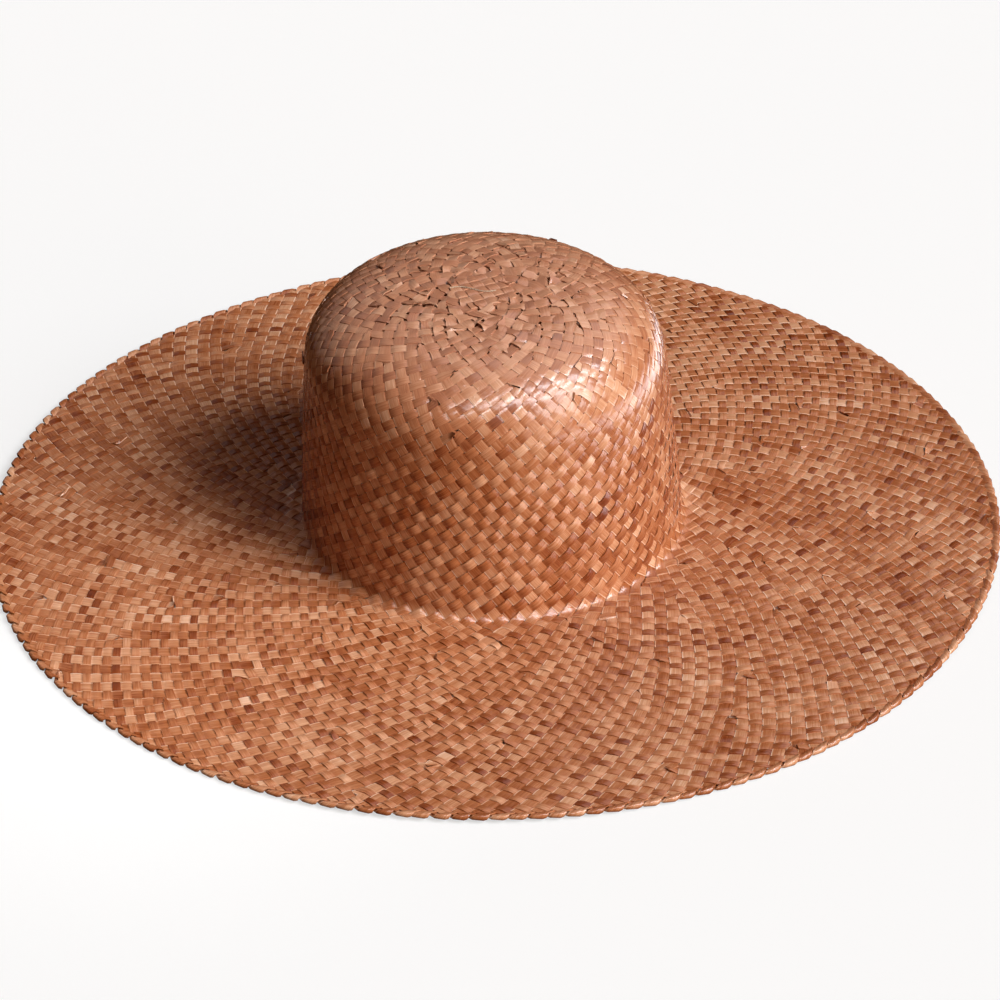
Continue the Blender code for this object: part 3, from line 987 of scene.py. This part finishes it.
def make_tab():
    half = TAB_WIDTH / 2 / FOOT_RADIUS
    depth = BAND_THICK / 2 + GAP + TAB_THICK / 2
    return ribbon("sweatband_joint_tab", (BACK - half, BACK + half), (TAB_BOTTOM, TAB_TOP), depth,
                  TAB_THICK, rib_wave(TAB_WIDTH / HEAD_CIRCUMFERENCE))


def make_stitches():
    steps = np.linspace(-1, 1, 9)
    half = STITCH_SHARE * TAU / STITCH_COUNT / 2
    bow = STITCH_BOW * (1 - steps ** 4) - STITCH_DEPTH
    paths = []
    for number in range(STITCH_COUNT):
        middle = BACK + (number + 0.5) * TAU / STITCH_COUNT
        height = STITCH_HEIGHT + rng.normal(0, STITCH_STRAY) + steps * rng.normal(0, STITCH_TILT)
        paths.append(inside_point(band_outer(height) - BAND_THICK - bow, middle + half * steps, height))
    return threads("sweatband_stitches", paths, THREAD_RADIUS)


def make_tack():
    steps = np.linspace(-1, 1, 57)
    angle = BACK + steps * TACK_WIDTH / 2 / FOOT_RADIUS
    height = TACK_HEIGHT + TACK_SWING * np.sin(steps * TAU * TACK_TURNS)
    radius = band_outer(height) - BAND_THICK - GAP - TAB_THICK - TACK_PROUD
    return threads("sweatband_bar_tack", [inside_point(radius, angle, height)], THREAD_RADIUS)


def make_tip_thread():
    """A loose two-ply end of thread across the middle of the tip."""
    low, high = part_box("tip_thread")
    steps = np.linspace(0, 1, 60)
    x = mix(low.x + TIP_END_MARGIN, high.x - TIP_END_MARGIN, steps)
    wave_start, waves = TIP_END_WAVE
    y = mix(low.y, high.y, 0.5) + TIP_END_SWING * np.sin(steps * TAU * waves + wave_start)
    spot = x + 1j * y
    path = on_surface(np.abs(spot), np.angle(spot), np.full(spot.shape, TIP_END_RISE))[0]
    return threads("tip_thread_end", [twisted(path, ply) for ply in (0, 1)], PLY_RADIUS, PLY_SIDES)


band = make_band()
sewing = [make_tab(), make_stitches(), make_tack(), make_tip_thread()]
stand_for([band], "sweatband")
for piece, node in zip(sewing, ("sweatband_tab", "sweatband_stitching", "sweatband_tab_tack", "tip_thread")):
    stand_for([piece], node)


# ---- floor, light and camera
FLOOR_HALF_SIDE = 6.0
FLOOR_COLOR = (0.350, 0.358, 0.366, 1)
FLOOR_GLOW = 0.630  # as on a lit studio table, so that the hat's shadow stays soft
GLOW_PAST_PAINTED_SHADOW = (RIM_RADIUS - 0.030, RIM_RADIUS + 0.002)  # it comes in from under the rim outwards, and is left out inside, a painted shadow under the hat
WARM_WHITE = (1.0, 0.82, 0.68)
WARMER_WHITE = (1.0, 0.80, 0.60)
COOL_WHITE = (0.86, 0.93, 1.0)
ROOM_COLOR = (1.0, 0.47, 0.21, 1)
ROOM_STRENGTH = 0.060
GLEAM_DISTANCE = 2.5
POOL_LAMP_RADIUS = 0.1


def make_floor():
    mesh = bpy.data.meshes.new("floor")
    corners = [(x * FLOOR_HALF_SIDE, y * FLOOR_HALF_SIDE, 0) for x, y in ((-1, -1), (1, -1), (1, 1), (-1, 1))]
    mesh.from_pydata(corners, [], [(0, 1, 2, 3)])
    floor = add_object("floor", mesh)
    paint = Material("pale_floor")
    distance = paint.add("VectorMath", {0: paint.add("TexCoord", {}, "Object")}, "Value", operation="LENGTH")
    paint.fill(paint.shader, {
        "Base Color": FLOOR_COLOR,
        "Roughness": 0.9,
        "Specular IOR Level": 0.0,
        "Emission Color": (1, 1, 1, 1),
        # no glow under the hat: a painted shadow there
        "Emission Strength": paint.smooth(distance, *GLOW_PAST_PAINTED_SHADOW, FLOOR_GLOW),
    })
    mesh.materials.append(paint.data)
    floor.visible_diffuse = False
    floor.visible_glossy = False


def make_lamp(name, kind, power, color=(1, 1, 1)):
    lamp = bpy.data.lights.new(name, kind)
    lamp.energy = power
    lamp.color = color
    return lamp, add_object(name, lamp)


def make_sun(name, towards, strength, softness, color=(1, 1, 1)):
    lamp, holder = make_lamp(name, "SUN", strength, color)
    lamp.angle = math.radians(softness)
    holder.rotation_mode = "QUATERNION"
    holder.rotation_quaternion = Vector(towards).normalized().to_track_quat("Z", "Y")


def make_panel(name, length, width, power):
    """A soft box that only shows as a reflection on gloss."""
    lamp, holder = make_lamp(name, "AREA", power, COOL_WHITE)
    lamp.shape = "RECTANGLE"
    lamp.size = length
    lamp.size_y = width
    holder.visible_diffuse = False
    return holder


def make_gleam(name, towards, along, length, width, power):
    """A long panel in the direction towards, with its length along the other one."""
    away = Vector(towards).normalized()
    side = Vector(along)
    side = (side - away * side.dot(away)).normalized()
    turn = Matrix((side, away.cross(side), away)).transposed()
    holder = make_panel(name, length, width, power)
    holder.matrix_world = Matrix.Translation(away * GLEAM_DISTANCE) @ turn.to_4x4()


def make_table_sheen(place, width, length, power):
    """The lit table beyond the rim, which only shows as a reflection on gloss."""
    holder = make_panel("table_sheen", width, length, power)
    holder.location = place
    holder.rotation_euler = (math.pi, 0, 0)
    holder.visible_camera = False


def make_pool(name, place, spread, power):
    """A faint soft pool of light from straight above, on one stretch of the brim."""
    lamp, holder = make_lamp(name, "SPOT", power)
    lamp.spot_size = math.radians(spread)
    lamp.spot_blend = 1
    lamp.shadow_soft_size = POOL_LAMP_RADIUS
    holder.location = place


def make_room():
    """The faint warm light that comes back from all round."""
    world = bpy.data.worlds.new("studio")
    world.use_nodes = True
    background = world.node_tree.nodes["Background"]
    background.inputs["Color"].default_value = ROOM_COLOR
    background.inputs["Strength"].default_value = ROOM_STRENGTH
    bpy.context.scene.world = world


def make_lights():
    """Each light's name, where it is or shines from, then its strength or size; angles in degrees."""
    make_sun("key", (0.70, -0.32, 0.66), 3.5, 36)
    make_sun("top_fill", (-0.05, -0.10, 1.0), 0.14, 100, WARMER_WHITE)
    make_sun("front_fill", (0.64, -0.72, 0.26), 1.35, 40, WARM_WHITE)
    streak = (1.13, 1.01, -0.34)
    make_gleam("long_gleam", (0.28, -0.24, 0.93), streak, 3.6, 0.30, 72)
    make_gleam("bright_gleam", (0.46, 0.00, 0.88), streak, 2.2, 0.42, 46)
    make_gleam("side_sheen", (0.34, 0.46, 0.82), streak, 2.6, 1.8, 20)
    make_gleam("back_sheen", (-0.55, 0.66, 0.50), (1, 0, 0), 2.4, 2.0, 4)
    make_table_sheen((0.72, -0.15, 0.002), 0.9, 1.3, 23)
    make_pool("brim_pool", (-0.16, -0.155, 1.2), 14, 20)
    make_room()


CAMERA_DISTANCE = 2.0
CAMERA_ELEVATION = math.radians(32.82)
CAMERA_ROLL = -0.0168  # in radians
CAMERA_LENS = 147.05  # in millimetres, on a sensor 36 mm wide
CAMERA_SENSOR = 36
CAMERA_TARGET = Vector((0.0026, -0.0004, 0.00958))


def make_camera():
    camera = add_object("camera", bpy.data.cameras.new("camera"))
    forward = Vector((0, math.cos(CAMERA_ELEVATION), -math.sin(CAMERA_ELEVATION)))
    right = Vector((1, 0, 0))
    up = right.cross(forward)
    turned_right = right * math.cos(CAMERA_ROLL) + up * math.sin(CAMERA_ROLL)
    turned_up = up * math.cos(CAMERA_ROLL) - right * math.sin(CAMERA_ROLL)
    turn = Matrix((turned_right, turned_up, -forward)).transposed()
    camera.matrix_world = Matrix.Translation(CAMERA_TARGET - forward * CAMERA_DISTANCE) @ turn.to_4x4()
    camera.data.lens = CAMERA_LENS
    camera.data.sensor_width = CAMERA_SENSOR
    bpy.context.scene.camera = camera


make_floor()
make_lights()
make_camera()
bpy.context.scene.view_settings.view_transform = "Standard"
